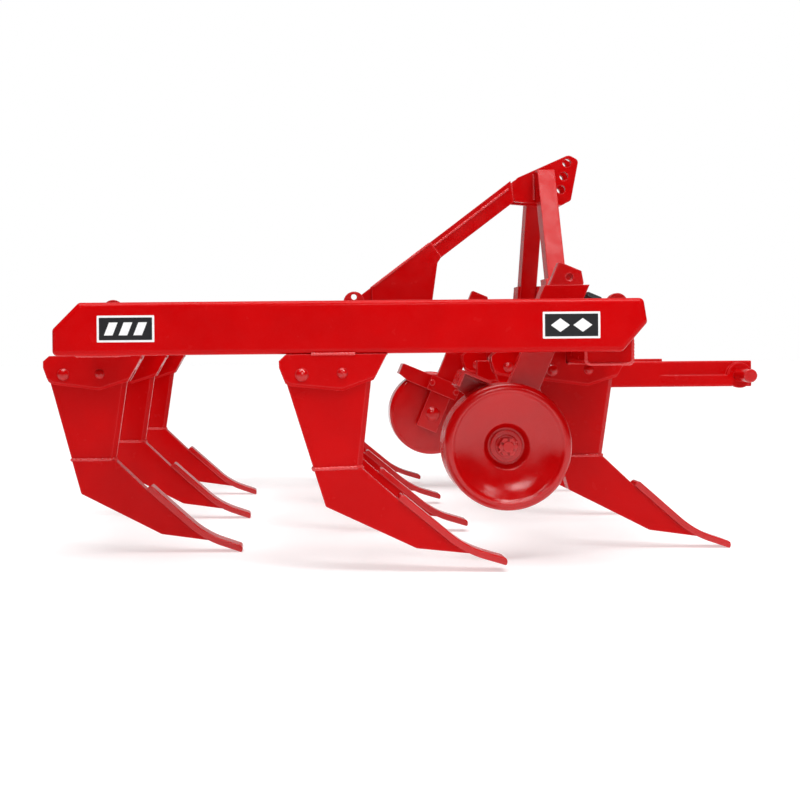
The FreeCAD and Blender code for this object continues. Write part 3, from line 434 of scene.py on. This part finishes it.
def add_film(mesh, outline, depth, thickness, material_index, place):
    """A thin flat shape whose back is depth out from the rail."""
    back = [mesh.verts.new(place(a, b, depth)) for a, b in outline]
    front = [mesh.verts.new(place(a, b, depth + thickness)) for a, b in outline]
    faces = [mesh.faces.new(front), mesh.faces.new(list(reversed(back)))]
    count = len(outline)
    for i in range(count):
        j = (i + 1) % count
        faces.append(mesh.faces.new((back[i], back[j], front[j], front[i])))
    for face in faces:
        face.material_index = material_index


def rail_plate(name, side, x, z, motif):
    """A white-edged black plate with a plain motif on a rail's outer face."""
    face_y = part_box("rail_right")[0].y

    def place(a, b, out):
        return Vector((x - side * a, side * (-face_y + out), z + b))

    width, height, border = 0.133, 0.062, 0.005
    base, print_layer = 0.0005, 0.0003
    mesh = bmesh.new()
    add_film(mesh, plate_outline(width, height, 0.002), 0.0, base, 0, place)
    field = plate_outline(width - 2 * border, height - 2 * border, 0.001)
    add_film(mesh, field, base, print_layer, 1, place)
    for shape in motif:
        add_film(mesh, shape, base + print_layer, print_layer, 0, place)
    bmesh.ops.recalc_face_normals(mesh, faces=mesh.faces)
    return piece(name, mesh, [film_white, film_black], "frame")


def slanted_bars():
    """Three leaning bars of equal width."""
    spacing, outer, inner, half_height = 0.034, 0.016, 0.004, 0.015
    bars = []
    for middle in (-spacing, 0.0, spacing):
        bars.append([(middle - outer, -half_height), (middle + inner, -half_height),
                     (middle + outer, half_height), (middle - inner, half_height)])
    return bars


def diamonds():
    """Two diamonds side by side."""
    offset, half_width, half_height = 0.026, 0.022, 0.016
    shapes = []
    for middle in (-offset, offset):
        shapes.append([(middle - half_width, 0.0), (middle, -half_height),
                       (middle + half_width, 0.0), (middle, half_height)])
    return shapes


rail_low, rail_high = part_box("rail_right")
plate_z = (rail_low.z + rail_high.z) / 2
rear_plate_x = rail_low.x + 0.172
front_plate_x = rail_high.x - 0.178
for side, word in ((-1, "right"), (1, "left")):
    rail_plate("rear_plate_" + word, side, rear_plate_x, plate_z, slanted_bars())
    rail_plate("front_plate_" + word, side, front_plate_x, plate_z, diamonds())


# ---- floor, lights and camera ----

def make_floor():
    """Plain pale floor that glows a little, like a lit table, so that shadows stay light."""
    mesh = bmesh.new()
    bmesh.ops.create_grid(mesh, x_segments=1, y_segments=1, size=40.0)
    data = bpy.data.meshes.new("floor")
    mesh.to_mesh(data)
    mesh.free()
    material, shader = new_material("floor")
    shader.inputs["Base Color"].default_value = (0.58, 0.58, 0.58, 1.0)
    shader.inputs["Roughness"].default_value = 0.9
    shader.inputs["Specular IOR Level"].default_value = 0.1
    shader.inputs["Emission Color"].default_value = (1.0, 1.0, 1.0, 1.0)
    shader.inputs["Emission Strength"].default_value = 0.5
    data.materials.append(material)
    floor = bpy.data.objects.new("floor", data)
    floor.location.z = cad_bounds[0][2] - 0.0005
    collection.objects.link(floor)


def area_light(name, place, target, size, power):
    light = bpy.data.lights.new(name, "AREA")
    light.shape = "RECTANGLE"
    light.size, light.size_y = size
    light.energy = power
    lamp = bpy.data.objects.new(name, light)
    lamp.location = place
    lamp.rotation_euler = (Vector(target) - Vector(place)).to_track_quat("-Z", "Y").to_euler()
    collection.objects.link(lamp)


def sun_light(name, direction, spread, strength):
    """A wide, even light from a direction; spread is its width in degrees."""
    light = bpy.data.lights.new(name, "SUN")
    light.angle = math.radians(spread)
    light.energy = strength
    lamp = bpy.data.objects.new(name, light)
    lamp.rotation_euler = Vector(direction).to_track_quat("Z", "Y").to_euler()
    collection.objects.link(lamp)


def make_world():
    """White to look at, with a bright backdrop behind the object and dim walls elsewhere."""
    world = bpy.data.worlds.new("studio")
    world.use_nodes = True
    tree = world.node_tree
    background = tree.nodes["Background"]
    background.inputs["Color"].default_value = (1.0, 1.0, 1.0, 1.0)
    direction = tree.nodes.new("ShaderNodeTexCoord")
    split = tree.nodes.new("ShaderNodeSeparateXYZ")
    tree.links.new(direction.outputs["Generated"], split.inputs["Vector"])
    backdrop = tree.nodes.new("ShaderNodeMapRange")
    backdrop.inputs["From Min"].default_value = 0.45
    backdrop.inputs["From Max"].default_value = 0.85
    backdrop.inputs["To Min"].default_value = 0.03
    backdrop.inputs["To Max"].default_value = 0.55
    tree.links.new(split.outputs["Y"], backdrop.inputs["Value"])
    rays = tree.nodes.new("ShaderNodeLightPath")
    level = tree.nodes.new("ShaderNodeMath")
    level.operation = "MAXIMUM"
    tree.links.new(backdrop.outputs["Result"], level.inputs[0])
    tree.links.new(rays.outputs["Is Camera Ray"], level.inputs[1])
    tree.links.new(level.outputs["Value"], background.inputs["Strength"])
    bpy.context.scene.world = world


make_floor()
make_world()
sun_light("sky_panel", (-0.1, -0.25, 1.9), 44.0, 2.75)
area_light("front_box", (1.3, -2.6, 3.9), (0.2, 0.0, 0.5), (1.0, 0.8), 48.0)
area_light("left_box", (-1.6, -3.0, 3.2), (0.0, 0.0, 0.4), (0.6, 0.5), 16.0)
area_light("low_box", (0.30, -4.3, 2.05), (0.45, -0.95, 0.2), (0.9, 0.7), 21.0)
area_light("right_box", (2.0, -3.7, 2.5), (0.45, -0.95, 0.2), (0.45, 0.4), 8.0)
bpy.context.scene.view_settings.view_transform = "Standard"

camera_data = bpy.data.cameras.new("camera")
camera_data.lens = 51.92
camera_data.sensor_width = 36.0
camera_data.shift_x = 0.136
camera_data.shift_y = -0.061
camera = bpy.data.objects.new("camera", camera_data)
camera.location = (-0.3175, -3.6, 0.517)
camera.rotation_euler = (math.radians(90), math.radians(0.5), 0.0)
collection.objects.link(camera)
bpy.context.scene.camera = camera
